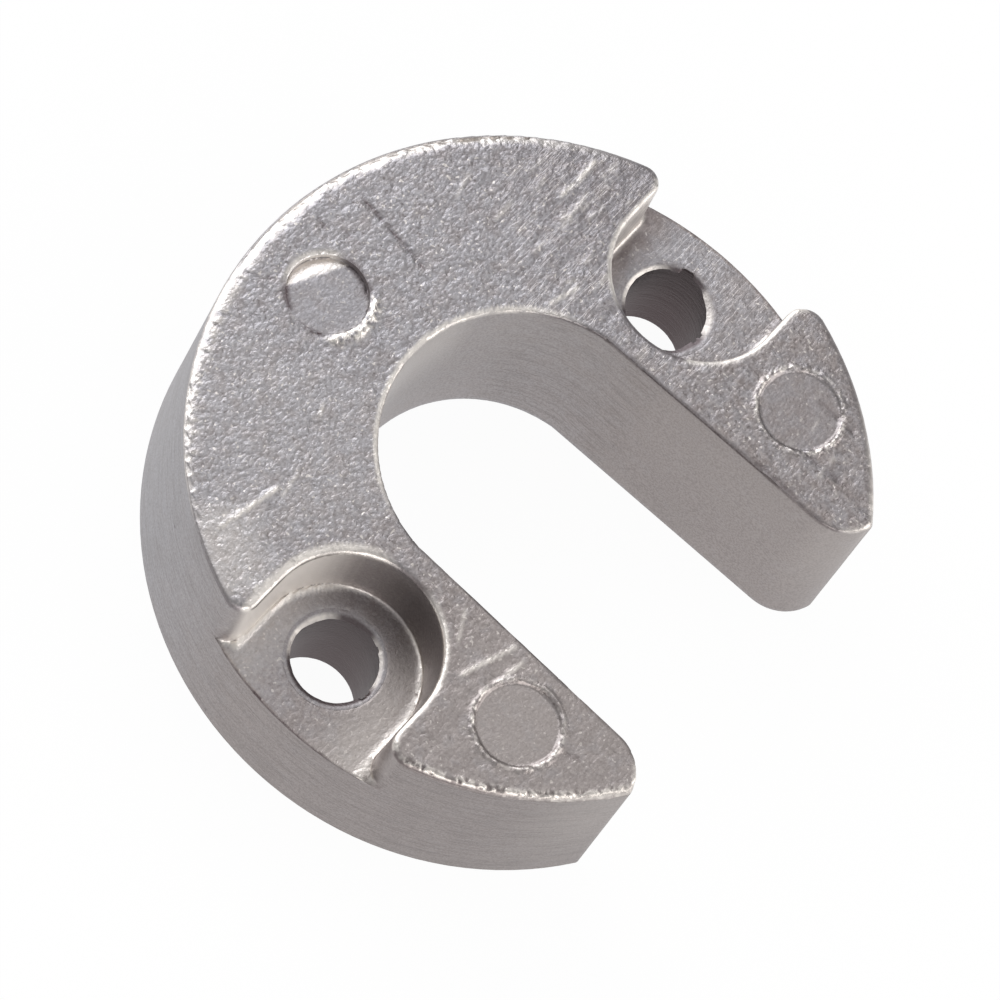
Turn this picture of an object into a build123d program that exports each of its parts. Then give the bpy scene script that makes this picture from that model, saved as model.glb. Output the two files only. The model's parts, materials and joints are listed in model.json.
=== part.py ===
from build123d import *
import os
from math import cos, hypot, radians, sin, tan

# Horseshoe sacrificial anode, cast in one piece. Lengths are in millimetres and angles in degrees.
# The origin lies midway between the two bolt holes, on the flat mounting face.
# +Z points from the mounting face to the front face, and the slot opens along +X.

# Round body, measured at the front face
body_radius = 33.25
body_centre_x = 1.2
body_draft = 0.7
thickness = 21.9
front_edge_radius = 0.75

# Slot that straddles the shaft, measured at the front face
slot_radius = 14.5
slot_centre_x = 0.65
slot_draft = 1.2
slot_edge_radius = 0.5
leg_kink_angle = 7
leg_flare = 1.3
leg_end_setback = 5.45
mouth_radius = 4.5

# Pockets for the bolt heads, measured at the front face and open through the outer wall
pocket_radius = 8.6
pocket_centre_x = 0.6
pocket_land = 2.8
pocket_depth = 8.1
pocket_draft = 1.5
crown_corner_radius = 1.8
leg_corner_radius = 2.2
pocket_foot_radius = 0.35

# Bolt holes, set in from the pockets' centres towards the slot
bolt_hole_radius = 4.75
bolt_hole_bevel = 0.15
bolt_set_in = 0.8

# Marks that the ejector pins left in the front face: angle round the body and distance from its edge
mark_radius = 4.05
leg_mark_angles = [56.0, -53.3]
leg_mark_insets = [6.25, 7.05]
leg_mark_depth = 0.2
crown_mark_angle = 183.6
crown_mark_inset = 8.45
crown_mark_depth = 0.6
crown_facet_direction = 166
crown_facet_start = 2.6
crown_facet_tilt = 9

# How far a cutter runs past the faces that it opens, and how closely a place is matched
overrun = 2.0
match = 0.01

pocket_floor_z = thickness - pocket_depth
pocket_centre_y = slot_radius + pocket_land + pocket_radius
bolt_hole_y = pocket_centre_y - bolt_set_in
leg_end_x = body_centre_x + body_radius - leg_end_setback


def round_blank():
    """Solid round body that widens from the front face down to the mounting face."""
    foot_radius = body_radius + thickness * tan(radians(body_draft))
    blank = Cone(foot_radius, body_radius, thickness, align=(Align.CENTER, Align.CENTER, Align.MIN))
    return Pos(body_centre_x, 0, 0) * blank


def slot_outline():
    """Round end, two straight legs that open slightly, and a rounded tip on each leg."""
    kink = Vector(
        slot_centre_x - slot_radius * sin(radians(leg_kink_angle)),
        slot_radius * cos(radians(leg_kink_angle)),
    )
    tip_start_x = leg_end_x - mouth_radius
    leg_rise = (tip_start_x - kink.X) * tan(radians(leg_flare))
    clear_x = body_centre_x + body_radius + overrun
    clear_y = body_radius + overrun
    round_end = CenterArc((slot_centre_x, 0), slot_radius, 90 + leg_kink_angle, 180 - 2 * leg_kink_angle)
    leg = Line(kink, (tip_start_x, kink.Y + leg_rise))
    tip = JernArc(leg @ 1, leg % 1, mouth_radius, 90 - leg_flare)
    outside = Polyline(tip @ 1, ((tip @ 1).X, clear_y), (clear_x, clear_y), (clear_x, 0))
    one_side = Curve() + [leg, tip, outside]
    return Pos(0, 0, thickness) * make_face(round_end + one_side + mirror(one_side, about=Plane.XZ))


def slot_cutter():
    """Slot through the whole thickness, narrowing towards the mounting face."""
    return extrude(slot_outline(), amount=-(thickness + overrun), taper=slot_draft)


def pocket_cutter(side):
    """Pocket round one bolt hole, with straight sides that run out through the outer wall."""
    reach = body_radius + overrun
    outline = Circle(pocket_radius) + Pos(0, side * reach / 2) * Rectangle(2 * pocket_radius, reach)
    placed = Pos(pocket_centre_x, side * pocket_centre_y, thickness) * outline
    return extrude(placed, amount=-pocket_depth, taper=pocket_draft)


def bolt_hole(side):
    """Plain through hole with a narrow bevel at the pocket floor."""
    upward = (Align.CENTER, Align.CENTER, Align.MIN)
    bore = Cylinder(bolt_hole_radius, pocket_floor_z + 2 * overrun, align=upward)
    bevel = Cone(bolt_hole_radius, bolt_hole_radius + bolt_hole_bevel, bolt_hole_bevel, align=upward)
    hole = Pos(0, 0, -overrun) * bore + Pos(0, 0, pocket_floor_z - bolt_hole_bevel) * bevel
    return Pos(0, side * bolt_hole_y, 0) * hole


def front_place(angle, inset):
    """Place on the front face, by its angle round the body and its distance from the edge."""
    reach = body_radius - inset
    return Pos(body_centre_x + reach * cos(radians(angle)), reach * sin(radians(angle)), thickness)


def pin_mark(depth):
    """Shallow round sinking, with its mouth at the level of the front face."""
    sinking = Cylinder(mark_radius, depth + overrun, align=(Align.CENTER, Align.CENTER, Align.MIN))
    return Pos(0, 0, -depth) * sinking


def crown_facet():
    """The part of the crown mark's floor that slopes down beyond a chord."""
    length = mark_radius - crown_facet_start
    drop = length * tan(radians(crown_facet_tilt))
    profile = make_face(Polyline((0, 0), (length, 0), (length, -drop), close=True))
    wedge = extrude(Plane.XZ * profile, amount=mark_radius, both=True)
    disc = Cylinder(mark_radius, drop, align=(Align.CENTER, Align.CENTER, Align.MAX))
    facet = Rot(0, 0, crown_facet_direction) * (Pos(crown_facet_start, 0, 0) * wedge & disc)
    return Pos(0, 0, -crown_mark_depth) * facet


def level_edges(body, z):
    """Edges of the flat faces that lie at height z."""
    faces = [face for face in body.faces().filter_by(Plane.XY) if abs(face.center().Z - z) < match]
    return [edge for face in faces for edge in face.edges()]


def on_outer_wall(edge):
    """Whether the middle of an edge lies on the outer wall and not inside it."""
    middle = edge @ 0.5
    return hypot(middle.X - body_centre_x, middle.Y) > body_radius - match


def round_pocket_corners(body, toward_mouth, radius):
    """Round the upright edges on one side of the pockets, where they run out through the outer wall."""
    upright = [
        edge
        for edge in body.edges()
        if abs((edge @ 0).Z - (edge @ 1).Z) > pocket_depth / 2
        and abs((edge @ 0.5).X - pocket_centre_x) < pocket_radius + match
        and ((edge @ 0.5).X > pocket_centre_x) == toward_mouth
        and on_outer_wall(edge)
    ]
    return fillet(upright, radius)


def round_pocket_feet(body):
    """Round the inside corner at the foot of each pocket's wall."""
    feet = [edge for edge in level_edges(body, pocket_floor_z) if not on_outer_wall(edge)]
    return fillet(feet, pocket_foot_radius)


def round_front_edges(body):
    """Round the front face's edges: the outer wall with the pockets, and then the slot."""
    slot_edge = slot_outline().face().outer_wire()

    def along_slot(edge):
        return slot_edge.distance_to(edge @ 0.5) < match

    rim = [edge for edge in level_edges(body, thickness) if not along_slot(edge)]
    body = fillet(rim, front_edge_radius)
    slot_rim = [edge for edge in level_edges(body, thickness) if along_slot(edge)]
    return fillet(slot_rim, slot_edge_radius)


def anode():
    """The whole casting."""
    body = round_blank() - slot_cutter()
    for side in (-1, 1):
        body -= pocket_cutter(side)
    body = round_pocket_corners(body, False, crown_corner_radius)
    body = round_pocket_corners(body, True, leg_corner_radius)
    body = round_pocket_feet(body)
    body = round_front_edges(body)
    for side in (-1, 1):
        body -= bolt_hole(side)
    for angle, inset in zip(leg_mark_angles, leg_mark_insets):
        body -= front_place(angle, inset) * pin_mark(leg_mark_depth)
    crown = front_place(crown_mark_angle, crown_mark_inset)
    body -= crown * pin_mark(crown_mark_depth)
    body -= crown * crown_facet()
    return body


os.makedirs("parts", exist_ok=True)
export_step(anode(), "parts/anode.step")
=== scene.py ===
import json
import math

import bpy
import numpy as np
from mathutils import Matrix, Vector, noise


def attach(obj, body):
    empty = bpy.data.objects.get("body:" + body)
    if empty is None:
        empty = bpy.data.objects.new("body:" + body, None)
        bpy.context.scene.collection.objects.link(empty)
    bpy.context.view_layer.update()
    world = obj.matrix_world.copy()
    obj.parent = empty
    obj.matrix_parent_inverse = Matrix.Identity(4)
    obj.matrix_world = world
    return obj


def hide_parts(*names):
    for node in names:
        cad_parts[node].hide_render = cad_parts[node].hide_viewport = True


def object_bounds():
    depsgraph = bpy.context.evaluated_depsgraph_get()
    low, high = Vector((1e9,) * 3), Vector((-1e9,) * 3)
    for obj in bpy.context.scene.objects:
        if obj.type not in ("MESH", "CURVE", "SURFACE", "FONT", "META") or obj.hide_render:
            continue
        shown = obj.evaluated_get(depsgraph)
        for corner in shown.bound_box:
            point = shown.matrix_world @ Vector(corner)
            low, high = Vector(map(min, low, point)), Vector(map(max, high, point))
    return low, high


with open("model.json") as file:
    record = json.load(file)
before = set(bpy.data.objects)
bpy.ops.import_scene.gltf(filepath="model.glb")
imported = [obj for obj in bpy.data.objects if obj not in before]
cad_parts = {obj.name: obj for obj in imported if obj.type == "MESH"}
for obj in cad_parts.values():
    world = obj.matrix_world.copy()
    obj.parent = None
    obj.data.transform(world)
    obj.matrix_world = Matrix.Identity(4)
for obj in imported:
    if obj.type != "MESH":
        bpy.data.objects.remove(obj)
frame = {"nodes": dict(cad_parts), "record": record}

bl_info = {
    "name": "Sacrificial Anode",
    "version": (1, 0, 0),
    "blender": (4, 5, 0),
    "location": "View3D > Sidebar > Anode",
    "description": "Dresses a cast horseshoe anode with its as-cast skin and sets it on a plain stage",
    "category": "Object",
}

MM = 0.001
CAD_LOW, CAD_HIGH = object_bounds()
NODE = frame["nodes"]["anode"]
BOLTS = next(mount for mount in frame["record"]["mounts"] if mount["name"] == "bolt_holes")

# Sizes and places of the casting in millimetres, as the part's source has them
FRONT_Z = CAD_HIGH.z / MM
BODY_CENTRE_X = 1.2
BODY_RADIUS = 33.25
FRONT_EDGE_RADIUS = 0.75
SLOT_X = 0.65
SLOT_RADIUS = 14.5
SLOT_EDGE_RADIUS = 0.5
POCKET_X = 0.6
POCKET_Y = 25.9
POCKET_RADIUS = 8.6
POCKET_DEPTH = 8.1
BOLT_Y = BOLTS["dims"]["spacing_y_mm"] / 2
BOLT_RADIUS = BOLTS["dims"]["hole_r_mm"]
MARK_RADIUS = 4.05
CROWN_MARK = (-23.55, -1.56)
LEG_MARKS = ((16.3, 22.38), (16.86, -21.01))

# A pocket's floor, how much its draft narrows it there, and how far out in Y the pockets begin
FLOOR_Z = FRONT_Z - POCKET_DEPTH
POCKET_NARROWING = 0.21
POCKET_NEAR_Y = 16

# The sloping facet in the crown mark: the bearing that it lies towards, and where it starts
FACET_BEARING = math.radians(154)
FACET_DIRECTION = np.array((math.cos(FACET_BEARING), math.sin(FACET_BEARING)))
FACET_START = 2.15


# Shader maths


class Value:
    """A number socket that can be used in Python expressions."""

    def __init__(self, tree, socket):
        self.tree = tree
        self.socket = socket

    def math(self, operation, *inputs):
        """The result of a Math node with those inputs."""
        node = self.tree.add("ShaderNodeMath", {"operation": operation}, dict(enumerate(inputs)))
        return Value(self.tree, node.outputs[0])

    def __add__(self, other):
        return self.math("ADD", self, other)

    def __sub__(self, other):
        return self.math("SUBTRACT", self, other)

    def __rsub__(self, other):
        return self.math("SUBTRACT", other, self)

    def __mul__(self, other):
        return self.math("MULTIPLY", self, other)

    def __abs__(self):
        return self.math("ABSOLUTE", self)

    __radd__ = __add__
    __rmul__ = __mul__

    def step(self, low, high):
        """Smooth step from 0 at low to 1 at high."""
        node = self.tree.add(
            "ShaderNodeMapRange",
            {"interpolation_type": "SMOOTHSTEP"},
            {"Value": self, "From Min": low, "From Max": high},
        )
        return Value(self.tree, node.outputs["Result"])


class Tree:
    """Builds the nodes of one material."""

    def __init__(self, name):
        self.material = bpy.data.materials.new(name)
        self.material.use_nodes = True
        self.nodes = self.material.node_tree.nodes
        self.links = self.material.node_tree.links
        self.nodes.clear()

    def add(self, kind, settings=None, sockets=None):
        """A node of that kind, with its settings made first and its sockets filled or linked."""
        node = self.nodes.new(kind)
        for key, value in (settings or {}).items():
            setattr(node, key, value)
        for key, value in (sockets or {}).items():
            socket = node.inputs[key]
            value = getattr(value, "socket", value)
            if isinstance(value, bpy.types.NodeSocket):
                self.links.new(value, socket)
            else:
                socket.default_value = value
        return node

    def painted(self, name):
        """The value from 0 to 1 that is painted on the mesh under that name."""
        return Value(self, self.add("ShaderNodeAttribute", {"attribute_name": name}).outputs["Fac"])

    def noise(self, place, scale, detail=2.0, roughness=0.5):
        """Noise from 0 to 1, with scale in grains per millimetre of the place that it reads."""
        sockets = {"Vector": place, "Scale": scale, "Detail": detail, "Roughness": roughness}
        return Value(self, self.add("ShaderNodeTexNoise", None, sockets).outputs["Fac"])

    def cells(self, place, scale, smoothness):
        """Distance from the middles of rounded cells, with scale in cells per millimetre."""
        sockets = {"Vector": place, "Scale": scale, "Smoothness": smoothness, "Randomness": 1.0}
        node = self.add("ShaderNodeTexVoronoi", {"feature": "SMOOTH_F1"}, sockets)
        return Value(self, node.outputs["Distance"])

    def stretched(self, place, scale):
        """The place scaled by a factor for each axis."""
        node = self.add("ShaderNodeVectorMath", {"operation": "MULTIPLY"}, {0: place, 1: scale})
        return node.outputs[0]

    def mixed(self, factor, first, second):
        """The first colour where the factor is 0 and the second where it is 1."""
        if not isinstance(first, bpy.types.NodeSocket):
            first = (*first, 1)
        node = self.add("ShaderNodeMix", {"data_type": "RGBA"}, {0: factor, 6: first, 7: (*second, 1)})
        return node.outputs[2]


PIT_DEPTH = 0.1


def cast_metal(settings):
    """As-cast light metal: a grainy front face, satin walls with drawn streaks, worn edges with painted
    highlights, and painted shade with a darker brown tone.
    """
    tree = Tree("as_cast_metal")
    place = tree.stretched(tree.add("ShaderNodeTexCoord").outputs["Object"], (1 / MM,) * 3)
    grainy, worn, soot, warm, drawn, dull = (
        tree.painted(name) for name in ("grainy", "worn", "soot", "warm", "drawn", "dull")
    )
    smooth = 1.0 - grainy

    # Rounded grains and hairlines on the front face, over the broader relief that the mesh has
    skin = tree.stretched(place, (1.12, 0.85, 1.0))
    swell = tree.noise(skin, scale=1.5, roughness=0.6)
    grains = tree.cells(skin, scale=2.1, smoothness=0.3)
    grains = grains * grains
    frost = tree.noise(skin, scale=3.0, detail=1.0, roughness=0.6)
    spots = tree.noise(place, scale=2.8, detail=0.0)
    combing = tree.noise(tree.stretched(place, (1.5, 0.16, 1.0)), scale=1.0, roughness=0.6)
    hairlines = abs(combing - 0.5).step(0.022, 0.004) * grainy * drawn
    peel = swell * settings.swell_height - grains * settings.grain_height + frost * settings.frost_height
    peel = peel + hairlines * settings.hairline_height

    # Drawn streaks run level round the outer wall; the slot's wall is plain satin
    streaks = tree.noise(tree.stretched(place, (0.22, 0.22, 2.3)), scale=1.0, detail=4.0, roughness=0.7)
    streaky = 0.2 + drawn * 0.8
    satin = tree.noise(place, scale=4.6, detail=1.0, roughness=0.6)
    drawing = streaks * streaky * settings.streak_height + satin * settings.satin_height
    pits = tree.noise(place, scale=0.75, detail=1.0).step(0.79, 0.83) * drawn * smooth
    relief = grainy * peel + smooth * drawing - pits * PIT_DEPTH
    bump = tree.add("ShaderNodeBump", None, {"Height": relief, "Strength": 1.0, "Distance": MM})

    # Bluish and brownish mottle, and over it each layer's strength and colour, from the lowest to the top
    mottle = tree.noise(place, scale=0.55, detail=4.0, roughness=0.65).step(0.3, 0.7)
    colour = tree.mixed((mottle - 0.5) * (0.2 + grainy * 0.5) + warm, settings.colour, settings.warm_colour)
    layers = (
        (frost.step(0.62, 0.3) * grainy * 0.4, settings.pit_colour),
        (frost.step(0.5, 0.8) * grainy * 0.15, settings.wear_and_highlight_colour),
        (spots.step(0.27, 0.2) * grainy * 0.5 + pits * 0.6, settings.pit_colour),
        (streaks.step(0.6, 0.3) * smooth * streaky * 0.4, settings.pit_colour),
        (satin.step(0.65, 0.3) * smooth * 0.36, settings.pit_colour),
        (spots.step(0.74, 0.8) * grainy * 0.6, settings.wear_and_highlight_colour),
        (hairlines * 0.13, settings.wear_and_highlight_colour),
        # Painted shade in holes, cracks and corners and on faces turned from the light, with a darker brown
        # tone
        (soot, settings.shade_and_tone_colour),
        # Painted highlights on rims, lines, marks and lit walls, with the wear of the edges
        (worn, settings.wear_and_highlight_colour),
    )
    for strength, layer_colour in layers:
        colour = tree.mixed(strength, colour, layer_colour)
    shader = tree.add("ShaderNodeBsdfPrincipled", None, {
        "Base Color": colour,
        "Metallic": 1.0 - dull * 0.8,
        "Roughness": 0.44 + (streaks - 0.5) * 0.1 - grainy * 0.09 - worn * 0.06,
        "Normal": bump.outputs[0],
    })
    tree.add("ShaderNodeOutputMaterial", None, {"Surface": shader.outputs[0]})
    return tree.material


# Settings


class CastingSettings(bpy.types.PropertyGroup):
    """Colours of the cast metal and heights of its finest relief"""

    colour: bpy.props.FloatVectorProperty(
        name="Metal colour", description="Colour of the bare cast metal", subtype="COLOR",
        default=(0.41, 0.4, 0.424), min=0, max=1)
    warm_colour: bpy.props.FloatVectorProperty(
        name="Warm colour", description="Colour of the slightly warmer patches", subtype="COLOR",
        default=(0.36, 0.322, 0.315), min=0, max=1)
    # Colour of the painted highlights and of the worn edges
    wear_and_highlight_colour: bpy.props.FloatVectorProperty(
        name="Worn colour", description="Colour of the bare metal on worn edges", subtype="COLOR",
        default=(0.86, 0.81, 0.76), min=0, max=1)
    # Colour of the painted shade in holes, cracks and corners, and of the darker brown tone
    shade_and_tone_colour: bpy.props.FloatVectorProperty(
        name="Soot colour", description="Colour of the brown film in holes and corners", subtype="COLOR",
        default=(0.08, 0.057, 0.06), min=0, max=1)
    pit_colour: bpy.props.FloatVectorProperty(
        name="Pit colour", description="Colour of the small dark pits", subtype="COLOR",
        default=(0.14, 0.12, 0.115), min=0, max=1)
    swell_height: bpy.props.FloatProperty(
        name="Swell height", description="Height of the front face's uneven swell, in millimetres",
        default=0.052, min=0, max=1)
    grain_height: bpy.props.FloatProperty(
        name="Grain height", description="Height of the front face's rounded grains, in millimetres",
        default=0.04, min=0, max=1)
    frost_height: bpy.props.FloatProperty(
        name="Frost height", description="Height of the finest frost on the front face, in millimetres",
        default=0.03, min=0, max=1)
    hairline_height: bpy.props.FloatProperty(
        name="Hairline height", description="Height of the fine lines on the combed parts, in millimetres",
        default=0.018, min=0, max=1)
    streak_height: bpy.props.FloatProperty(
        name="Streak height", description="Height of the walls' drawn streaks, in millimetres",
        default=0.065, min=0, max=1)
    satin_height: bpy.props.FloatProperty(
        name="Satin height", description="Height of the walls' fine satin grain, in millimetres",
        default=0.03, min=0, max=1)


class FlashSettings(bpy.types.PropertyGroup):
    """Size of the flash in the bolt holes"""

    reach: bpy.props.FloatProperty(
        name="Reach", description="How far the flash reaches into the bolt hole", default=0.5 * MM,
        min=0, max=MM, unit="LENGTH")
    depth: bpy.props.FloatProperty(
        name="Depth", description="How far the flash slopes down from the pocket floor", default=0.2 * MM,
        min=0, max=MM, unit="LENGTH")


class StageSettings(bpy.types.PropertyGroup):
    """Powers of the lights and whiteness of the floor"""

    left_light: bpy.props.FloatProperty(
        name="Left light", description="Power of the left panel", default=4.2, min=0, unit="POWER")
    right_light: bpy.props.FloatProperty(
        name="Right light", description="Power of the right panel", default=1.9, min=0, unit="POWER")
    front_light: bpy.props.FloatProperty(
        name="Front light", description="Power of the low panel in front", default=1.5, min=0, unit="POWER")
    top_light: bpy.props.FloatProperty(
        name="Top light", description="Power of the overhead panel", default=0.4, min=0, unit="POWER")
    room_light: bpy.props.FloatProperty(
        name="Room light", description="Strength of the even light from all sides", default=0.45, min=0)
    floor_glow: bpy.props.FloatProperty(
        name="Floor whiteness", description="How much of the floor shows as plain white", default=0.96,
        min=0, max=1, subtype="FACTOR")


# Modelling helpers

MERGE_DISTANCE = 0.001 * MM


def only(piece):
    """Makes the piece the one selected and active object."""
    bpy.ops.object.select_all(action="DESELECT")
    piece.select_set(True)
    bpy.context.view_layer.objects.active = piece


def new_piece(name, mesh):
    """A new object with that mesh, selected by itself."""
    piece = bpy.data.objects.new(name, mesh)
    bpy.context.scene.collection.objects.link(piece)
    only(piece)
    return piece


def apply_modifier(piece, kind, **settings):
    """Gives the piece a modifier of that kind, with its settings, and applies it."""
    only(piece)
    modifier = piece.modifiers.new(kind.lower(), kind)
    for key, value in settings.items():
        setattr(modifier, key, value)
    bpy.ops.object.modifier_apply(modifier=modifier.name)


def vertices(piece):
    """The piece's vertices as an array, in millimetres."""
    flat = np.empty(len(piece.data.vertices) * 3)
    piece.data.vertices.foreach_get("co", flat)
    return flat.reshape(-1, 3) / MM


def set_vertices(piece, places):
    """Moves the piece's vertices to the places, in millimetres."""
    piece.data.vertices.foreach_set("co", (places * MM).ravel())
    piece.data.update()


def face_centres(piece):
    """The middles of the piece's faces as an array, in millimetres."""
    flat = np.empty(len(piece.data.polygons) * 3)
    piece.data.polygons.foreach_get("center", flat)
    return flat.reshape(-1, 3) / MM


def subdivide_faces(piece, chosen):
    """Cuts each chosen face in four."""
    only(piece)
    bpy.ops.object.mode_set(mode="EDIT")
    bpy.ops.mesh.select_mode(type="FACE")
    bpy.ops.mesh.select_all(action="DESELECT")
    bpy.ops.object.mode_set(mode="OBJECT")
    piece.data.polygons.foreach_set("select", chosen)
    bpy.ops.object.mode_set(mode="EDIT")
    bpy.ops.mesh.subdivide(number_cuts=1)
    bpy.ops.object.mode_set(mode="OBJECT")


def paint(piece, **layers):
    """Stores each layer on the piece's vertices, for the metal to read, from one value or one for each."""
    for name, values in layers.items():
        layer = piece.data.attributes.new(name, "FLOAT", "POINT")
        layer.data.foreach_set("value", np.full(len(piece.data.vertices), values, dtype=np.float32))


# Maths on arrays of places

SEED_STEPS = (7.3, 3.1, 5.7)
ARC_FADE = 0.3
LINE_END_FADE = 0.6


def smooth_step(values, low, high):
    """0 at low and 1 at high, with a smooth run between them."""
    share = np.clip((values - low) / (high - low), 0, 1)
    return share * share * (3 - 2 * share)


def bell(off, width):
    """1 where off is 0, falling away to both sides over the width."""
    return np.exp(-((off / width) ** 2))


def strongest(*layers):
    """The highest of the layers' values at each place."""
    return np.max(np.broadcast_arrays(*layers), axis=0)


def grain(places, scale, seed):
    """Noise from -1 to 1 at each place, with scale in grains per millimetre."""
    shift = Vector([seed * step for step in SEED_STEPS])
    return np.array([noise.noise(Vector(place) * scale + shift) for place in places])


def body_polar(flat):
    """Angle round the body in degrees, and distance in from its outer edge, at each place."""
    x, y = flat.T
    x = x - BODY_CENTRE_X
    return np.degrees(np.arctan2(y, x)) % 360, BODY_RADIUS - np.hypot(x, y)


def mark_polar(flat, centre):
    """Bearing in degrees and distance outside the edge of a round mark, at each place."""
    x, y = (flat - np.array(centre)).T
    return np.degrees(np.arctan2(y, x)), np.hypot(x, y) - MARK_RADIUS


def arc_window(bearing, middle, half_width):
    """1 over an arc of bearings round a middle one, falling away at its ends."""
    off = np.abs((bearing - middle + 180) % 360 - 180)
    return 1 - smooth_step(off, half_width * (1 - ARC_FADE), half_width * (1 + ARC_FADE))


def line_ridge(flat, start, end, width):
    """A rounded ridge along a line: 1 on the line, falling away to the sides and at the ends."""
    start, end = np.array(start), np.array(end)
    run = end - start
    length = np.hypot(*run)
    along = (flat - start) @ run / length
    off = np.abs((flat - start) @ np.array((-run[1], run[0])) / length)
    ends = np.clip(np.minimum(along, length - along) / LINE_END_FADE, 0, 1)
    return bell(off, width) * ends


# The casting's mesh

# Stretches of the rim that are in the finest faces: middle and half width in degrees round the body
FINE_RIM_ARCS = ((186, 50), (312, 28))


def front_and_feet(places):
    """Which places lie near the front face or the foot of a pocket's wall."""
    x, y, z = places.T
    in_pocket = (np.abs(x - POCKET_X) < POCKET_RADIUS + 0.5) & (np.abs(y) > POCKET_NEAR_Y)
    return (z > FRONT_Z - 1.2) | (in_pocket & (np.abs(z - FLOOR_Z) < 1.0))


def marks_and_rims(places):
    """Which places lie near a mark's edge, a worn rim or the outer edge of a pocket's floor."""
    x, _, z = places.T
    angle, inset = body_polar(places[:, :2])
    crown_away, *leg_aways = (mark_polar(places[:, :2], centre)[1] for centre in (CROWN_MARK, *LEG_MARKS))
    near_mark = np.abs(crown_away) < 1.1
    for away in leg_aways:
        near_mark |= np.abs(away - 0.2) < 0.6
    in_arc = np.any([np.abs(angle - middle) < half_width for middle, half_width in FINE_RIM_ARCS], axis=0)
    near_rim = in_arc & (inset < 1.4)
    floor_rim = (np.abs(z - FLOOR_Z) < 0.3) & (np.abs(inset) < 0.5) & (np.abs(x - POCKET_X) < POCKET_RADIUS)
    return ((z > FRONT_Z - 0.9) & (near_mark | near_rim)) | floor_rim


def fine_casting():
    """A copy of the casting in small even faces, finest round the marks and along the rims."""
    piece = new_piece("casting", NODE.data.copy())
    bpy.ops.object.mode_set(mode="EDIT")
    bpy.ops.mesh.select_all(action="SELECT")
    bpy.ops.mesh.remove_doubles(threshold=MERGE_DISTANCE)
    bpy.ops.object.mode_set(mode="OBJECT")
    apply_modifier(piece, "REMESH", mode="SHARP", octree_depth=7, scale=0.99, sharpness=1.0)
    subdivide_faces(piece, front_and_feet(face_centres(piece)))
    subdivide_faces(piece, marks_and_rims(face_centres(piece)))
    apply_modifier(piece, "SHRINKWRAP", target=NODE, wrap_method="NEAREST_SURFACEPOINT")
    return piece


# The casting's relief and paint

# Heights, depths and widths are in millimetres, and an arc is its middle and half its width in degrees

# Length along the body's edge for each degree
EDGE_PER_DEGREE = 0.58

# Noise that the relief and the paint share, in grains per millimetre, and the front face's swell by it
COARSE_GRAIN, MEDIUM_GRAIN, FINE_GRAIN = 0.45, 0.95, 1.9
COARSE_SWELL, MEDIUM_SWELL, FINE_SWELL = 0.030, 0.042, 0.016

# Combed parts of the front face
COMBING_GRAIN = 1.3
COMBING_STRETCH_X, COMBING_STRETCH_Y = 1.1, 0.3
COMBING_HEIGHT = 0.07
TOP_COMBING = (104, 30)

# Flow lines on the front face: start, end and height
FLOW_LINES = (
    ((-15.6, -26.9), (-14.1, -19.1), 0.13),
    ((9.8, -21.6), (12.0, -15.0), 0.11),
    ((12.9, -18.9), (13.4, -15.7), 0.09),
    ((7.8, -19.2), (5.9, -15.6), 0.06),
    ((-9.4, -29.1), (-8.7, -26.3), 0.10),
    ((-13.3, -20.3), (-13.9, -16.7), 0.06),
    ((-14.3, 28.0), (-14.1, 24.4), 0.12),
    ((-14.2, 24.6), (-14.3, 22.0), 0.09),
    ((-17.3, 18.8), (-17.2, 15.5), 0.05),
    ((-12.7, 24.9), (-12.1, 19.6), 0.05),
    ((-7.0, 16.7), (-8.0, 12.7), 0.09),
    ((-22.2, 18.0), (-21.3, 14.6), 0.04),
    ((-16.8, -9.8), (-15.9, -11.8), 0.07),
    ((-28.0, 8.3), (-24.4, 7.9), -0.14),
    ((-24.6, 7.9), (-18.4, 7.0), -0.12),
    ((-29.6, 3.7), (-27.7, 3.2), -0.10),
    ((-26.8, 4.5), (-25.5, 4.3), -0.11),
    ((-29.3, -4.0), (-28.0, -4.4), -0.10),
    ((15.7, 15.3), (22.0, 15.3), -0.09),
    ((18.8, 19.2), (24.9, 19.6), -0.09),
    ((21.5, -20.2), (23.6, -19.4), -0.09),
    ((17.0, 24.6), (22.4, 24.3), -0.08),
)
FLOW_LINE_WIDTH = 0.19
FULLY_PAINTED_HEIGHT = 0.1

# Rim of the front face: its worn shoulder, grooves, sharper stretch, the lip on a leg, and lighter patches
SHOULDER_ARC = (176, 52)
SHOULDER_FADE, SHOULDER_LOSS = (180, 196), 0.72
SHOULDER_REACH = 1.6
SHOULDER_CURVE = 4.4
GROOVE_ARC = (206, 20)
GROOVE_GRAIN, GROOVE_STRETCH, GROOVE_HEIGHT = 2.3, 0.4, 0.05
SHARP_RIM_ARC = (250, 34)
SHARP_RIM_HEIGHT, PLAIN_RIM_HEIGHT = 0.2, 0.1
LEG_LIP_ARC = (312, 26)
LEG_LIP_HEIGHT, LEG_CHIP_DEPTH = 0.05, 0.12
LIGHT_PATCH_ARC = (222, 22)
LIGHT_CORNER_ARC = (242, 8)

# Marks: the crown mark's burr, lit lip, dark line, shades and facet, and the beads of flash on the legs
BURR_ARC = (-3, 42)
BURR_PLACE, BURR_WIDTH, BURR_HEIGHT, CRACK_DEPTH = 0.55, 0.5, 0.26, 0.1
LIT_LIP_ARC = (160, 44)
LIT_LIP_DROP = 0.13
DARK_LINE_ARC = (-74, 22)
DARK_LINE_WIDTH, DARK_LINE_DEPTH = 0.35, 0.1
LEFT_SHADE_ARC, TOP_SHADE_ARC = (222, 26), (78, 36)
FACET_SLOPE = 0.1
BEAD_GRAIN, BEAD_HEIGHT, BEAD_PLACE, BEAD_WIDTH = 2.6, 0.13, 0.35, 0.28
BEAD_ARCS = ((-10, 40), (190, 45))

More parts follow.
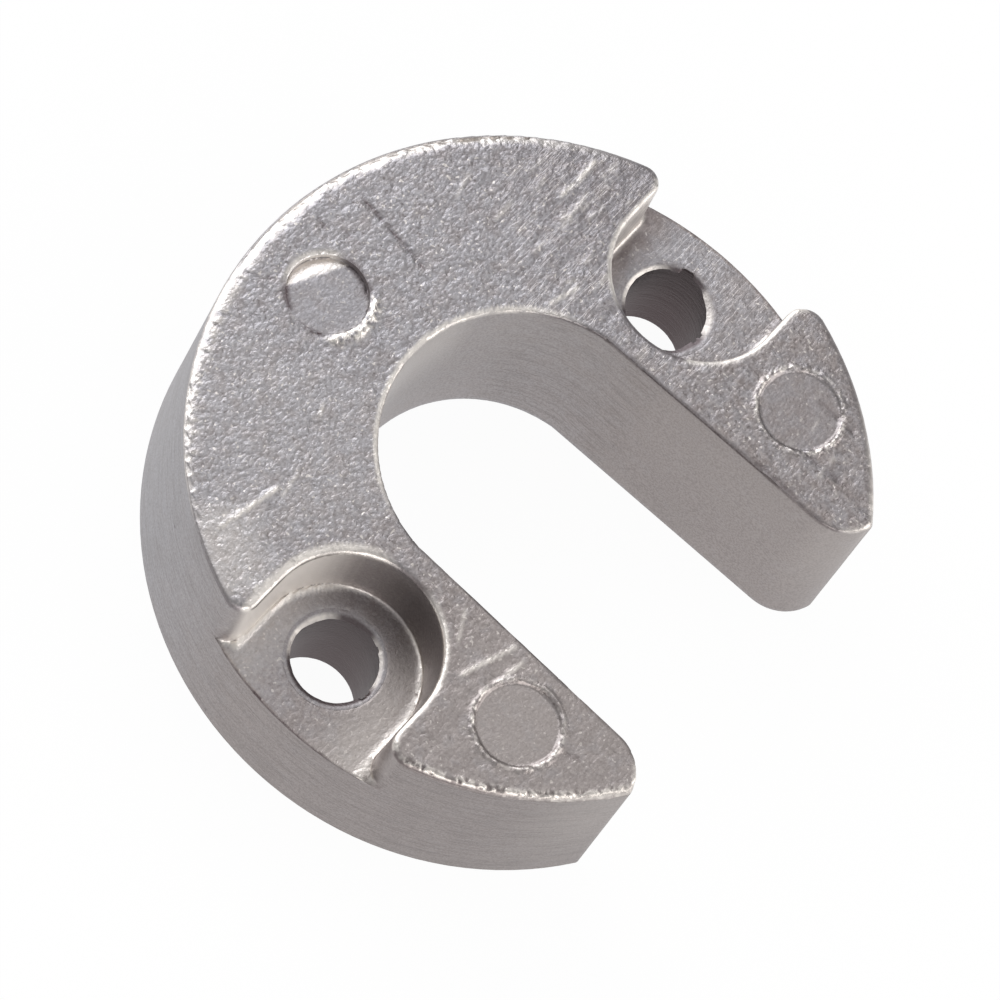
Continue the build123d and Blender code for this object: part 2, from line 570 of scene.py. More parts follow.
# Ramps at the feet of the pockets' walls, swell of the pockets' floors, and waves of the walls
LEG_RAMP_HEIGHT, CROWN_RAMP_HEIGHT = 0.1, 0.25
RAMP_REACH, RAMP_WIDTH = 0.85, 0.5
FLOOR_COARSE_SWELL, FLOOR_MEDIUM_SWELL = 0.012, 0.014
WALL_WAVE_HEIGHT = 0.012

# Added to how level a normal is, so that nothing is divided by 0
TINY = 1e-6


class Skin:
    """The casting's vertices, and how far each one lies on each part of the casting and each cast trace."""

    def __init__(self, piece):
        self.places = vertices(piece)
        normals = np.empty(len(self.places) * 3)
        piece.data.vertex_normals.foreach_get("vector", normals)
        self.normals = normals.reshape(-1, 3)

        # How level each normal is, from 0 on the front face to 1 on a wall, and which way it faces
        self.level = np.hypot(self.normals[:, 0], self.normals[:, 1]) + TINY
        self.face_x = self.normals[:, 0] / self.level
        self.along_x = np.abs(self.face_x)
        self.along_y = np.abs(self.normals[:, 1] / self.level)

        self.angle, self.inset = body_polar(self.places[:, :2])
        self.coarse = grain(self.places, COARSE_GRAIN, seed=1)
        self.medium = grain(self.places, MEDIUM_GRAIN, seed=2)
        self.fine = grain(self.places, FINE_GRAIN, seed=3)
        self.ragged = np.clip(0.5 + 0.9 * self.medium + 0.9 * self.fine, 0, 1)

        self.find_front()
        self.find_pockets()
        self.find_lines()
        self.find_rims()
        self.find_crown_mark()

    def find_front(self):
        """The front face, the round marks in it and its rounded edges."""
        z = self.places[:, 2]
        self.upward = smooth_step(self.normals[:, 2], 0.5, 0.95)
        self.front = self.upward * (z > FRONT_Z - 1.0)
        self.marks = [mark_polar(self.places[:, :2], centre) for centre in (CROWN_MARK, *LEG_MARKS)]
        aways = [away for _, away in self.marks]
        self.in_mark = strongest(*(smooth_step(-away, 0.0, 0.25) for away in aways)) * self.front
        self.at_mark = np.min(np.abs(aways), axis=0) < 0.3
        rounded = smooth_step(self.level, 0.12, 0.45) * smooth_step(1 - self.level, -0.02, 0.12)
        self.rim = (z > FRONT_Z - 0.8) * rounded * ~self.at_mark

    def find_pockets(self):
        """The bolt holes, and each pocket's floor and wall with the foot and the ramp between them."""
        x, y, z = self.places.T
        self.minus_side = y < 0
        off_hole = np.hypot(x, np.abs(y) - BOLT_Y) - BOLT_RADIUS
        self.in_hole = (off_hole < 0.05) & (z < FLOOR_Z - 0.05)
        self.clear_of_hole = smooth_step(off_hole, 0.2, 1.0)
        in_pocket = (np.abs(x - POCKET_X) < POCKET_RADIUS + 2.2) & (np.abs(y) > POCKET_NEAR_Y)
        in_pocket &= (z > FLOOR_Z - 0.1) & (z < FRONT_Z - 0.4)
        self.floor = in_pocket & (z < FLOOR_Z + 0.6) & (self.level < 0.93)
        self.wall = (in_pocket & ~self.floor) * smooth_step(self.inset, 0.0, 1.0)
        foot = self.floor * smooth_step(self.level, 0.08, 0.4)
        self.foot = foot * (self.inset > 0.1) * (self.clear_of_hole > 0.5)
        self.from_axis = np.hypot(x - POCKET_X, np.minimum(np.abs(y) - POCKET_Y, 0))
        from_wall = POCKET_RADIUS - POCKET_NARROWING - self.from_axis
        near_wall = np.clip((RAMP_REACH - from_wall) / RAMP_WIDTH, 0, 1)
        at_side = smooth_step(np.abs(x - POCKET_X), 3, 7)
        off_rim = np.where(x < POCKET_X, smooth_step(self.inset, 0.3, 1.3), 1)
        self.ramp = self.floor * self.upward * near_wall * at_side * off_rim

    def find_lines(self):
        """The combed parts and the flow lines of the front face."""
        x, y, z = self.places.T
        stretched = np.column_stack((x * COMBING_STRETCH_X, y * COMBING_STRETCH_Y, 0 * z))
        self.combed = grain(stretched, COMBING_GRAIN, seed=9)
        self.top_combing = arc_window(self.angle, *TOP_COMBING)
        self.combed_zone = self.top_combing + smooth_step(x, 14, 20) * (y > 0)
        beads = 0.9 + 0.4 * self.fine
        self.flow, self.raised, self.sunk = (np.zeros(len(x)) for _ in range(3))
        for start, end, height in FLOW_LINES:
            ridge = line_ridge(self.places[:, :2], start, end, FLOW_LINE_WIDTH) * beads
            self.flow += height * ridge
            self.raised = np.maximum(self.raised, ridge * height / FULLY_PAINTED_HEIGHT)
            self.sunk = np.maximum(self.sunk, -ridge * height / FULLY_PAINTED_HEIGHT)

    def find_rims(self):
        """The shoulder and the grooves on the crown's rim, and the chipped lip on a leg's rim."""
        self.shoulder = arc_window(self.angle, *SHOULDER_ARC)
        self.shoulder *= 1 - SHOULDER_LOSS * smooth_step(self.angle, *SHOULDER_FADE)
        self.off_shoulder = 1 - self.shoulder * (self.inset < 1.0)
        self.reach = SHOULDER_REACH + 0.2 * self.coarse + 0.3 * self.medium + 0.3 * self.fine
        along = self.angle * EDGE_PER_DEGREE
        grooves = np.column_stack((along, self.inset * GROOVE_STRETCH, 0 * along))
        self.grooves = grain(grooves, GROOVE_GRAIN, seed=5)
        self.grooved = arc_window(self.angle, *GROOVE_ARC)
        self.leg_lip = arc_window(self.angle, *LEG_LIP_ARC) * (1 - smooth_step(self.inset, 0.45, 1.1))
        self.chips = smooth_step(self.fine + 0.5 * self.medium, 0.1, 0.35)

    def find_crown_mark(self):
        """The crown mark's sloping facet, lit lip, burr with its cracks, and dark line."""
        bearing, away = self.marks[0]
        self.facet_reach = (self.places[:, :2] - np.array(CROWN_MARK)) @ FACET_DIRECTION - FACET_START
        self.lit_lip = arc_window(bearing, *LIT_LIP_ARC)
        self.burr = arc_window(bearing, *BURR_ARC)
        self.burr_lip = self.burr * bell(away - BURR_PLACE, BURR_WIDTH)
        self.cracks = np.clip(1 - np.abs(self.medium + 0.4 * self.fine) * 8, 0, 1)
        self.broken = smooth_step(self.medium + self.fine, -0.55, -0.1)
        self.dark_line = arc_window(bearing, *DARK_LINE_ARC) * bell(away, DARK_LINE_WIDTH) * self.broken

    def find_walls(self):
        """The walls, the pockets' rims and the calmer corners, as they lie once the relief is raised."""
        x, y, z = self.places.T
        self.outside = (self.inset < 0.2) & (z < FRONT_Z - 0.5)
        inner = (self.level > 0.9) & ~self.outside & (self.wall == 0) & ~self.in_hole
        self.slot_wall = inner & (z < FRONT_Z - 0.4) & ~self.at_mark
        self.mark_walls = self.at_mark * (z > FRONT_Z - 0.8) * smooth_step(self.level, 0.2, 0.7)
        self.crown_mark_wall = self.mark_walls * (self.marks[0][1] < 1)
        near_pocket = (np.abs(y) > POCKET_NEAR_Y) & (np.abs(x - POCKET_X) < POCKET_RADIUS + 2.5)
        self.pocket_rim = self.rim * (self.inset > 1.0) * near_pocket
        self.near_front = z > FRONT_Z - 0.9
        self.calm = smooth_step(x, 0, 14) * (y < 0)
        self.crown_corner = 1 - smooth_step(x, -7.5, -3.5)


def front_relief(skin):
    """Height of the front face's relief over the plain face."""
    _, crown_away = skin.marks[0]
    swell = COARSE_SWELL * skin.coarse + MEDIUM_SWELL * skin.medium + FINE_SWELL * skin.fine
    rise = swell * (1 - 0.6 * skin.in_mark)
    rise += COMBING_HEIGHT * skin.combed * skin.combed_zone * (1 - skin.in_mark)
    rise += skin.flow
    rise -= skin.shoulder * np.clip(skin.reach - skin.inset, 0, None) ** 2 / SHOULDER_CURVE
    rise += GROOVE_HEIGHT * skin.grooved * skin.grooves * (1 - smooth_step(skin.inset, 0.8, 2.0))
    rise += skin.leg_lip * (LEG_LIP_HEIGHT + 0.03 * skin.medium - LEG_CHIP_DEPTH * skin.chips)
    for _, away in skin.marks[1:]:
        rise += BEAD_HEIGHT * bell(away - BEAD_PLACE, BEAD_WIDTH) * (0.3 + skin.ragged)
    rise -= FACET_SLOPE * np.clip(skin.facet_reach, 0, None) * (crown_away < 0)
    rise -= LIT_LIP_DROP * skin.lit_lip * bell(crown_away - 0.05, 0.3) * (crown_away > -0.02)
    rise += skin.burr_lip * (BURR_HEIGHT + 0.1 * skin.fine - CRACK_DEPTH * skin.cracks)
    rise -= DARK_LINE_DEPTH * skin.dark_line * (crown_away > -0.05)
    return rise * skin.front


def pocket_relief(skin):
    """Height of the ramps at the feet of the pockets' walls, and of the swell of their floors."""
    x = skin.places[:, 0]
    ramps = skin.ramp ** 2 * np.where(x > POCKET_X, LEG_RAMP_HEIGHT, CROWN_RAMP_HEIGHT * skin.minus_side)
    swell = FLOOR_COARSE_SWELL * skin.coarse + FLOOR_MEDIUM_SWELL * skin.medium
    swell *= np.where(skin.minus_side, 0.5, 1.1)
    return ramps + skin.floor * skin.upward * skin.clear_of_hole * swell


def raise_relief(skin):
    """Moves the vertices: the relief of the upward faces, crisper rims, and faint waves in the walls."""
    x, _, z = skin.places.T
    skin.places[:, 2] += front_relief(skin) + pocket_relief(skin)
    outer_rim = SHARP_RIM_HEIGHT * arc_window(skin.angle, *SHARP_RIM_ARC)
    crisp = np.where(skin.inset < 1.0, outer_rim, PLAIN_RIM_HEIGHT) * skin.rim
    beside_pocket = smooth_step(np.abs(x - POCKET_X) - POCKET_RADIUS, 1.5, 3.0)
    crisp *= np.where(skin.inset < 1.5, beside_pocket, 1)
    skin.places += skin.normals * (crisp * (2 * skin.level * skin.normals[:, 2]) ** 2)[:, None]
    wave = (1 - skin.upward) * WALL_WAVE_HEIGHT * skin.coarse * (z > 1)
    skin.places[:, :2] += skin.normals[:, :2] * wave[:, None]


def graininess(skin):
    """How far each place has the front face's grain. The pockets' walls have little, the others none."""
    x, y, _ = skin.places.T
    crown_side = 1 - smooth_step(x, -6.0, -1.0)
    on_floor = np.where(skin.minus_side, 0.25 + 0.35 * smooth_step(-y, 22, 28), 0.85 - 0.35 * crown_side)
    on_front = skin.front * (1 - 0.4 * skin.in_mark) * (1 - 0.6 * skin.rim) * (1 - 0.3 * skin.calm)
    return np.where(skin.floor, on_floor * skin.upward, np.where(skin.wall > 0, 0.25, on_front))


def rim_wear_and_highlights(skin):
    """Wear and painted highlights on the front face's rims: outside, round the pockets and along the slot.
    """
    x, y, _ = skin.places.T
    # Painted highlight on the outer rims that face ±X
    outer = skin.rim * smooth_step(skin.along_x, 0.45, 0.85) * skin.off_shoulder
    outer *= 0.45 + 0.55 * skin.ragged
    # Which way a pocket's rim faces where it gets a painted highlight
    minus_lit = smooth_step(skin.along_x, 0.1, 0.5)
    plus_lit = smooth_step(skin.face_x, 0.3, 0.7) + (skin.face_x < -0.5)
    lit = np.where(skin.minus_side, minus_lit, plus_lit)
    rims = np.where(skin.pocket_rim > 0, skin.pocket_rim * lit * (0.6 + 0.4 * skin.ragged), outer)
    shoulder = skin.shoulder * (1 - smooth_step(skin.inset, skin.reach - 1.1, skin.reach - 0.3))
    beads = skin.grooved * smooth_step(skin.grooves, -0.2, 0.25) * (1 - smooth_step(skin.inset, 0.9, 1.9))
    lip = skin.leg_lip * (1 - skin.chips) * smooth_step(skin.ragged, 0.0, 0.4)
    # Painted highlight lines along the slot's brink and round the crown side of the minus pocket
    off_slot = np.hypot(x - SLOT_X, y) - SLOT_RADIUS - SLOT_EDGE_RADIUS
    slot_brink = (1 - smooth_step(off_slot, -0.15, 0.15)) * smooth_step(-x, 3, 9)
    slot_brink *= 0.8 + 0.2 * skin.ragged
    off_pocket = skin.from_axis - POCKET_RADIUS - FRONT_EDGE_RADIUS
    pocket_brink = (1 - smooth_step(off_pocket, 0, 0.4)) * smooth_step(POCKET_X - x, 2, 6)
    pocket_brink *= skin.minus_side * smooth_step(skin.inset, 0.8, 1.6)
    on_front = strongest(shoulder * 0.8, beads * 0.45, lip * 0.95, slot_brink, pocket_brink * 0.85)
    return np.maximum(rims, skin.front * on_front)


def front_highlights_and_patches(skin):
    """Painted highlights on the front face's raised lines, and lighter combed parts and patches."""
    combing = skin.combed_zone * smooth_step(skin.combed + 0.4 * skin.fine, 0.3, 0.7)
    patch = arc_window(skin.angle, *LIGHT_PATCH_ARC) * 0.05
    corner = arc_window(skin.angle, *LIGHT_CORNER_ARC) * (1 - smooth_step(skin.inset, 2, 8)) * 0.25
    # Painted highlights on the raised flow lines, lighter combing and patches
    on_front = skin.front * strongest(skin.raised * 0.85, combing * 0.3, patch + corner)
    return np.maximum(on_front, np.maximum(skin.front * 0.6, skin.in_mark) * skin.calm * 0.1)


def mark_highlights(skin):
    """Painted highlights in the crown mark's facet, on its burr and lit lip, and on the beads of flash
    round the leg marks.
    """
    z = skin.places[:, 2]
    _, crown_away = skin.marks[0]
    # Painted highlight on the crown mark's sloping facet
    facet = smooth_step(skin.facet_reach, 0.0, 0.25) * (crown_away < -0.05) * (z < FRONT_Z - 0.4) * 0.6
    # Painted highlight on the burr, broken by its cracks
    burr = skin.burr_lip * skin.front * (1 - skin.cracks) * 2.2
    burr *= smooth_step(skin.fine + 0.5 * skin.medium, -0.4, 0.2)
    lit_edge = skin.front * bell(crown_away - 0.2, 0.3)
    lip = skin.lit_lip * np.maximum(lit_edge * 0.75, skin.crown_mark_wall * 0.85)
    beads = 0
    dots = smooth_step(grain(skin.places, BEAD_GRAIN, seed=7), -0.15, 0.2)
    # Painted highlights on the beads of flash, strongest in crescents
    for bearing, away in skin.marks[1:]:
        crescents = 0.45 + 0.55 * strongest(*(arc_window(bearing, *arc) for arc in BEAD_ARCS))
        beads = np.maximum(beads, skin.front * crescents * bell(away - 0.3, 0.24) * dots * 0.85)
    return strongest(facet, burr, lip, beads)


def pocket_highlights(skin):
    """Painted highlights on the pockets' feet, on their walls that face +X and on the ramps, and lighter
    parts of a floor.
    """
    x, _, z = skin.places.T
    # Painted highlight on the foot line, strongest where it faces ±X
    foot = skin.foot * smooth_step(0.95 - skin.level, 0, 0.2) * (0.75 + 0.25 * skin.ragged)
    foot *= 0.2 + 0.8 * smooth_step(skin.along_x, 0.1, 0.6)
    off_middle = np.abs(z - FLOOR_Z - 3.7)
    streaked = 0.55 + 0.5 * skin.medium + 0.3 * smooth_step(off_middle, 2.2, 3.4)
    # Painted light on the pockets' walls that face +X
    wall = skin.wall * smooth_step(skin.face_x, np.where(skin.minus_side, 0.45, 0.1), 1.06)
    wall *= np.where(skin.minus_side, 1, streaked)
    # Painted highlight on the ramps at the feet of the minus pocket's walls
    ramp = np.where(x < POCKET_X, smooth_step(skin.ramp, 0, 0.8) * 0.95, skin.ramp * 0.7)
    sides = np.maximum((1 - smooth_step(x, -7, -2)) * 0.2, smooth_step(x, 2.0, 8.0) * 0.3)
    return strongest(foot, wall, skin.minus_side * ramp, skin.minus_side * skin.floor * skin.upward * sides)


def wall_highlights(skin):
    """Painted highlight on the slot's wall where it faces +X, and lighter paint on the legs' ends and
    higher up the slot's wall.
    """
    x, _, z = skin.places.T
    # Painted highlight on the slot's wall where it faces +X
    crown = skin.slot_wall * smooth_step(skin.face_x, 0.8, 1.0) * smooth_step(z, 6, 20) * 0.3
    ends = (skin.slot_wall | skin.outside) * smooth_step(x, 21, 28) * smooth_step(z, -2, 18) * 0.12
    return strongest(crown, ends, skin.slot_wall * smooth_step(z, 4, 20) * 0.05)


def edge_shade(skin):
    """Painted shade in the bolt holes, on the rims that face ±Y, in chips and cracks, and at the marks'
    edges and walls.
    """
    y = skin.places[:, 1]
    bearing, away = skin.marks[0]
    # Painted shade on the outer rims that face ±Y
    outer = skin.rim * skin.off_shoulder * smooth_step(skin.along_y, 0.7, 0.95)
    outer *= smooth_step(skin.level, 0.4, 0.8) * 0.5
    # Painted shade in the crack at the burr's foot, and painted shadows beside the crown mark's walls
    burr_foot = skin.burr * bell(away, 0.2) * skin.broken * 0.8
    shades = arc_window(bearing, *LEFT_SHADE_ARC) * 0.9 + arc_window(bearing, *TOP_SHADE_ARC) * 0.65
    shades *= bell(away + 0.12, 0.42)
    # Painted shade inside the bolt holes, on the plus pocket's rim where it faces ±Y, in the lip's chips,
    # in the burr's cracks and on mark walls facing ±Y
    return strongest(
        skin.in_hole,
        outer,
        skin.pocket_rim * (y > 0) * (skin.along_x < 0.6) * 0.5,
        skin.leg_lip * skin.front * skin.chips * 0.7,
        skin.burr_lip * skin.cracks * 0.8,
        skin.mark_walls * smooth_step(skin.along_y, 0.3, 0.9) * 0.1,
        skin.near_front * strongest(skin.dark_line, burr_foot, shades),
    )


def face_shade_and_tone(skin):
    """Darker tone on the front face; painted shade in its sunken lines, on the pockets' walls facing ±Y and
    along their floors' edges; a painted reflection of the wall and a browner patch on the floors.
    """
    x, y, z = skin.places.T
    # Darker tone on the front face, deeper towards +Y and on the crown side
    front = 0.05 + smooth_step(0.3 * x + y, 4, 24) * (0.25 - 0.2 * smooth_step(x, -5, 8))
    # Painted shade on the pockets' walls that face ±Y
    wall = skin.wall * (1 - smooth_step(np.abs(skin.face_x - 0.1), 0.1, 0.9)) * 0.08
    # Painted reflection of the wall on the minus pocket's floor, and a browner patch beside the crown on
    # the plus pocket's floor
    minus_wall_reflection = smooth_step(x, -4, 4) * smooth_step(y, -30, -20) * 0.17
    plus_brown = skin.crown_corner * (0.7 + 0.6 * skin.medium) * 0.42
    floor = skin.floor * skin.upward * np.where(skin.minus_side, minus_wall_reflection, plus_brown)
    # Painted shade along the outer edges of the pockets' floors
    edge = (np.abs(z - FLOOR_Z) < 0.16) & (np.abs(skin.inset + 0.1) < 0.16)
    edge &= np.abs(x - POCKET_X) < POCKET_RADIUS + 0.4
    edge = edge * np.where(skin.minus_side, 0.95, 0.5) * (0.6 + 0.4 * skin.ragged)
    # The sunken flow lines get painted shade
    return strongest(skin.front * front, skin.front * skin.sunk * 0.6, wall, floor, edge)


def warmth(skin):
    """How far the metal turns to its warmer colour."""
    x, y, _ = skin.places.T
    warm = 0.15 + smooth_step(x, -18, 8) * smooth_step(-y, -20, 24) * 0.6 + 0.5 * smooth_step(x, -6, 14)
    warm = np.maximum(warm, skin.floor * skin.crown_corner * (y > 0))
    warm = np.where(skin.outside, smooth_step(x, -26, 4) * 1.2, warm + 0.5 * (skin.level > 0.9))
    return np.clip(warm, 0, 1)


def dullness(skin):
    """How far the metal is dull: on the pockets' lit walls, a pocket's foot and the crown mark's wall."""
    x = skin.places[:, 0]
    wall = skin.wall * smooth_step(skin.face_x, np.where(skin.minus_side, -0.3, -0.6), 0.95)
    foot = skin.foot * skin.minus_side * smooth_step(POCKET_X - x, 2, 6) * smooth_step(skin.inset, 0.3, 1.3)
    return strongest(wall, foot, skin.crown_mark_wall)


def dress(piece):
    """Raises the as-cast relief of the casting and paints its grain, its wear with painted highlights, its
    painted shade and darker tone, and its warmth.
    """
    skin = Skin(piece)
    raise_relief(skin)
    set_vertices(piece, skin.places)
    skin.find_walls()
    # Wear and painted highlights; the painted shade and darker tone are left off wherever these lie
    lighter_parts = (part_paint(skin) for part_paint in (rim_wear_and_highlights, front_highlights_and_patches, mark_highlights, pocket_highlights, wall_highlights))
    worn = np.clip(strongest(*lighter_parts), 0, 1)
    soot = strongest(edge_shade(skin), face_shade_and_tone(skin)) * (1 - worn)
    # Painted shade on the outer wall, deeper towards +X
    outer_wall_shade = skin.outside * (0.03 + 0.05 * smooth_step(skin.places[:, 0], -5, 20))
    paint(
        piece,
        grainy=graininess(skin),
        worn=worn,
        soot=np.maximum(soot, outer_wall_shade),
        warm=warmth(skin),
        drawn=np.where(skin.outside, 1, skin.top_combing),
        dull=dullness(skin),
    )


# Flash in the bolt holes

# Where each ring of flash is broken or stands out: middle and half width in degrees, and share of its reach
FLASH_CHIPS = {
    -1: ((-12, 4, 0.5), (-4, 3, 0.4), (58, 4, 0.3)),
    1: ((103, 9, 0.8), (-8, 4, 0.5), (3, 4, 0.6)),
}
FLASH_TABS = {-1: ((129, 45, 0.5),), 1: ((119, 6, 0.3), (20, 50, 0.7))}
# Arcs of the flash's slope that get a painted highlight, fully and at three quarters: middle and half width
# in degrees
FLASH_LIT_ARC, FLASH_HALF_LIT_ARC = (174, 42), (38, 32)
FLASH_RIM_WIDTH, FLASH_RIM_THICKNESS = 0.24, 0.12
FLASH_ROOT_DEPTH = 0.35
FLASH_GRAIN = 1.6
FLASH_STEPS = 240


def flash_section(reach, depth):
    """Closed outline of the flash: distance from the hole's axis and height, in millimetres."""
    outside, brow, inside = BOLT_RADIUS + FLASH_RIM_WIDTH, BOLT_RADIUS - 0.03, BOLT_RADIUS - reach
    return (
        (outside, FLOOR_Z - FLASH_RIM_THICKNESS),
        (outside, FLOOR_Z + 0.004),
        (brow, FLOOR_Z + 0.006),
        ((brow + inside) / 2, FLOOR_Z - depth * 0.45),
        (inside, FLOOR_Z - depth),
        (BOLT_RADIUS + 0.02, FLOOR_Z - depth - FLASH_ROOT_DEPTH),
    )


def spun_ring(name, section, centre):
    """A ring made by turning a closed outline round the upright axis through the centre."""
    corners = [centre + Vector((x, 0, z)) * MM for x, z in section]
    edges = [(index, (index + 1) % len(section)) for index in range(len(section))]
    mesh = bpy.data.meshes.new(name)
    mesh.from_pydata(corners, edges, [])
    piece = new_piece(name, mesh)
    bpy.ops.object.mode_set(mode="EDIT")
    bpy.ops.mesh.select_all(action="SELECT")
    bpy.ops.mesh.spin(steps=FLASH_STEPS, angle=math.tau, center=centre, axis=(0, 0, 1))
    bpy.ops.mesh.select_all(action="SELECT")
    bpy.ops.mesh.remove_doubles(threshold=MERGE_DISTANCE)
    bpy.ops.mesh.normals_make_consistent(inside=False)
    bpy.ops.object.mode_set(mode="OBJECT")
    return piece


def arc_shares(bearing, arcs):
    """Sum of the shares of arcs at each bearing."""
    return sum(share * arc_window(bearing, middle, half_width) for middle, half_width, share in arcs)


def ring_of_flash(name, side, settings):
    """A thin ragged ring of flash that slopes from the pocket floor into the bolt hole."""
    reach, depth = settings.reach / MM, settings.depth / MM
    piece = spun_ring(name, flash_section(reach, depth), Vector((0, side * BOLT_Y, 0)) * MM)
    places = vertices(piece)
    from_axis = places[:, :2] - (0, side * BOLT_Y)
    away = np.hypot(*from_axis.T)
    bearing = np.degrees(np.arctan2(from_axis[:, 1], from_axis[:, 0]))
    missing = np.clip(arc_shares(bearing, FLASH_CHIPS[side]), 0, 1)
    rough = grain(places, FLASH_GRAIN, seed=8 + side)
    inward = np.clip((BOLT_RADIUS - away) / reach, 0, 1)
    shift = inward * reach * (0.85 * missing - arc_shares(bearing, FLASH_TABS[side]) - 0.07 * rough)
    places[:, :2] += from_axis * (shift / away)[:, None]
    set_vertices(piece, places)

    z = places[:, 2]
    slope = smooth_step(inward, 0.1, 0.3)
    # Painted highlight on the lit arcs of the slope, painted shade on the rest of the slope and inside the
    # hole
    lit = np.maximum(arc_window(bearing, *FLASH_LIT_ARC), arc_window(bearing, *FLASH_HALF_LIT_ARC) * 0.75)
    shine = (0.65 + 0.35 * smooth_step(rough, -0.3, 0.2)) * (1 - 0.5 * missing) * 0.85
    on_floor = (1 - slope) * (z > FLOOR_Z - 0.2)
    soot = np.where(on_floor > 0.5, 0.04, slope * (1 - lit) * 0.75)
    soot = np.where(z < FLOOR_Z - depth - 0.1, 0.9, soot)
    paint(
        piece,
        grainy=on_floor * (0.5 + 0.2 * side),
        worn=slope * lit * shine,
        soot=soot,
        warm=0.4,
        drawn=0,
        dull=0,
    )
    return piece


# Operators

SMOOTH_ANGLE = math.radians(50)


def finish_piece(piece, replaced=None):
    """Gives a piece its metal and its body."""
    material = bpy.data.materials.get("as_cast_metal") or cast_metal(bpy.context.scene.anode_casting)
    piece.data.materials.clear()
    piece.data.materials.append(material)
    only(piece)
    bpy.ops.object.shade_smooth_by_angle(angle=SMOOTH_ANGLE)
    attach(piece, "root")
    if replaced:
        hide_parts(replaced)


class ANODE_OT_casting(bpy.types.Operator):
    """Makes the casting in a fine mesh with its as-cast relief"""

    bl_idname = "anode.casting"
    bl_label = "Casting"

    def execute(self, context):
        piece = fine_casting()
        dress(piece)
        finish_piece(piece, "anode")
        return {"FINISHED"}


class ANODE_OT_flash(bpy.types.Operator):
    """Adds the ring of flash in each bolt hole"""

    bl_idname = "anode.flash"
    bl_label = "Bolt hole flash"

    def execute(self, context):
        for number, side in enumerate((-1, 1), start=1):
            piece = ring_of_flash(f"bolt_hole_flash_{number}", side, context.scene.anode_flash)
            finish_piece(piece)
        return {"FINISHED"}


# Camera's place and aim, and its lens and sensor in millimetres
CAMERA_PLACE = Vector((32.61, -220.44, 501.69)) * MM
CAMERA_AIM = Vector((0.746, -0.573, 11.0)) * MM
CAMERA_ROLL = math.radians(34.46)
CAMERA_LENS = 203.71
CAMERA_SENSOR = 36

# Light panels round the casting: place and size in metres, and colour
PANELS = {
    "left": ((-0.534, 0.24, 0.38), (0.8, 0.75), (0.97, 0.98, 1.0)),
    "right": ((0.55, 0.22, 0.33), (0.6, 0.65), (1.0, 0.98, 0.96)),
    "front": ((0.36, -0.5, 0.28), (0.5, 0.4), (1.0, 0.97, 0.94)),
    "top": ((0, 0.3, 0.8), (0.5, 0.5), (1.0, 0.99, 0.98)),
}

FLOOR_SIZE = 6.0
FLOOR_COLOUR = (0.9, 0.9, 0.9, 1)


def panel_light(name, place, size, power, colour):
    """An area light that faces the casting."""
    bpy.ops.object.light_add(type="AREA", location=place)
    light = bpy.context.object
    light.name = name
    light.rotation_euler = (-Vector(place)).to_track_quat("-Z", "Y").to_euler()
    light.data.shape = "RECTANGLE"
    light.data.size, light.data.size_y = size
    light.data.energy = power
    light.data.color = colour


def white_where_seen(tree, shaded, share):
    """Mixes plain white into a surface for rays from the camera, from gloss and through glass."""
    path = tree.add("ShaderNodeLightPath")
    camera, gloss, glass = (
        Value(tree, path.outputs[f"Is {kind} Ray"]) for kind in ("Camera", "Glossy", "Transmission")
    )
    seen = camera + gloss + glass
    white = tree.add("ShaderNodeEmission", None, {"Strength": 1.0})
    mix = tree.add("ShaderNodeMixShader", None, {0: seen * share, 1: shaded, 2: white.outputs[0]})
    return mix.outputs[0]


def pale_floor(glow):
    """A wide floor under the casting, plain white where it is seen."""
    bpy.ops.mesh.primitive_plane_add(size=FLOOR_SIZE, location=(0, 0, 0))
    floor = bpy.context.object
    floor.name = "floor"
    tree = Tree("pale_floor")
    diffuse = tree.add("ShaderNodeBsdfDiffuse", None, {"Color": FLOOR_COLOUR})
    surface = white_where_seen(tree, diffuse.outputs[0], glow)
    tree.add("ShaderNodeOutputMaterial", None, {"Surface": surface})
    floor.data.materials.append(tree.material)


def room_light(strength):
    """Even white light from all sides."""
    world = bpy.data.worlds.new("room")
    bpy.context.scene.world = world
    world.use_nodes = True
    background = world.node_tree.nodes["Background"]
    background.inputs["Color"].default_value = (1, 1, 1, 1)
    background.inputs["Strength"].default_value = strength


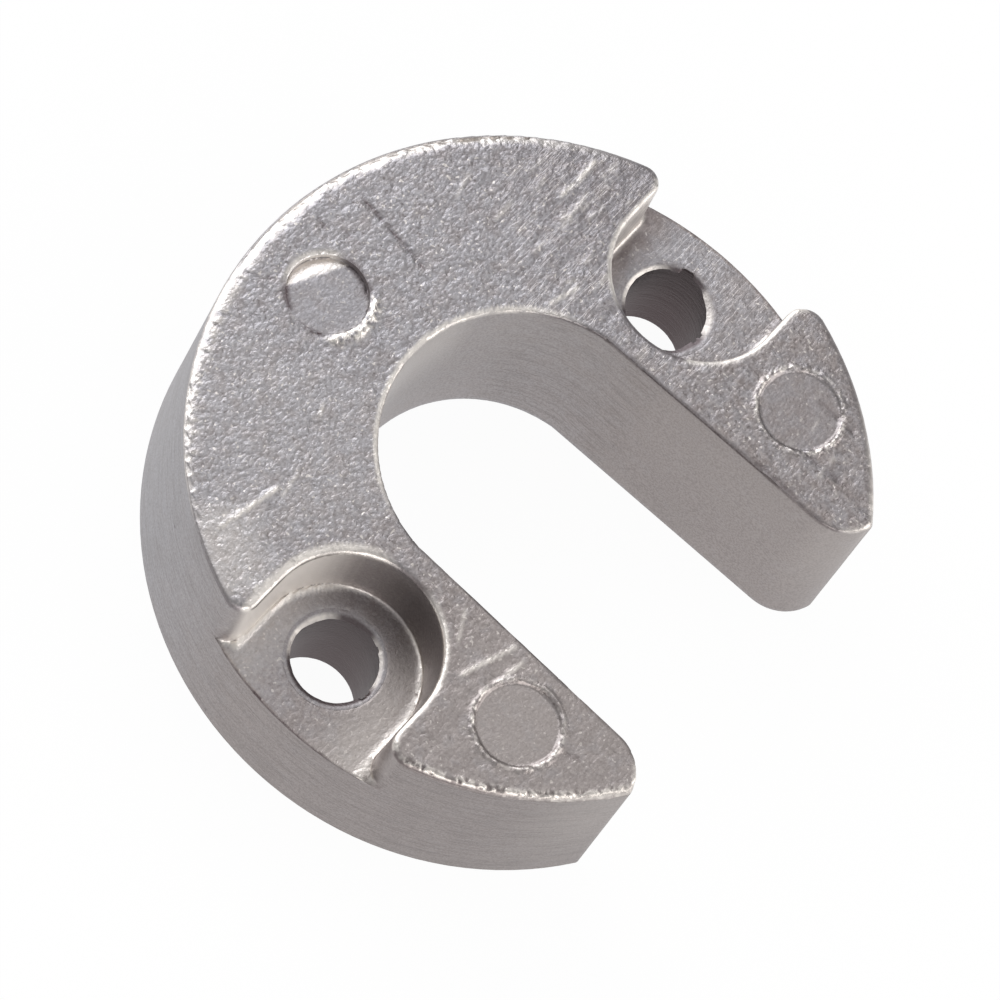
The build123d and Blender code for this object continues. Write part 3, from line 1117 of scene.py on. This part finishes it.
def camera_on_casting():
    """The camera, which looks down on the front face."""
    bpy.ops.object.camera_add(location=CAMERA_PLACE)
    camera = bpy.context.object
    look = (CAMERA_AIM - CAMERA_PLACE).to_track_quat("-Z", "Y").to_matrix()
    camera.rotation_euler = (look @ Matrix.Rotation(CAMERA_ROLL, 3, "Z")).to_euler()
    camera.data.sensor_width = CAMERA_SENSOR
    camera.data.lens = CAMERA_LENS
    return camera


class ANODE_OT_stage(bpy.types.Operator):
    """Adds the floor, the lights and the camera"""

    bl_idname = "anode.stage"
    bl_label = "Stage"

    def execute(self, context):
        settings = context.scene.anode_stage
        pale_floor(settings.floor_glow)
        room_light(settings.room_light)
        for side, (place, size, colour) in PANELS.items():
            panel_light(f"{side}_panel", place, size, getattr(settings, f"{side}_light"), colour)
        context.scene.camera = camera_on_casting()
        context.scene.view_settings.view_transform = "Standard"
        return {"FINISHED"}


class ANODE_PT_sidebar(bpy.types.Panel):
    """Lists the pieces and their settings"""

    bl_label = "Anode"
    bl_idname = "ANODE_PT_sidebar"
    bl_space_type = "VIEW_3D"
    bl_region_type = "UI"
    bl_category = "Anode"

    def draw(self, context):
        for group, operator in STEPS.items():
            box = self.layout.box()
            settings = getattr(context.scene, group)
            for key in GROUPS[group].__annotations__:
                box.prop(settings, key)
            box.operator(operator)


STEPS = {"anode_casting": "anode.casting", "anode_flash": "anode.flash", "anode_stage": "anode.stage"}
GROUPS = {"anode_casting": CastingSettings, "anode_flash": FlashSettings, "anode_stage": StageSettings}
CLASSES = [*GROUPS.values(), ANODE_OT_casting, ANODE_OT_flash, ANODE_OT_stage, ANODE_PT_sidebar]


def register():
    """Registers the classes, and gives the scene their settings."""
    for cls in CLASSES:
        bpy.utils.register_class(cls)
    for name, group in GROUPS.items():
        setattr(bpy.types.Scene, name, bpy.props.PointerProperty(type=group))


def unregister():
    """Takes the settings off the scene, and the classes off Blender's list."""
    for name in GROUPS:
        delattr(bpy.types.Scene, name)
    for cls in reversed(CLASSES):
        bpy.utils.unregister_class(cls)


def main():
    """Makes the casting, its flash and the stage."""
    register()
    bpy.ops.anode.casting()
    bpy.ops.anode.flash()
    bpy.ops.anode.stage()
    bpy.context.view_layer.update()


if __name__ == "__main__":
    main()
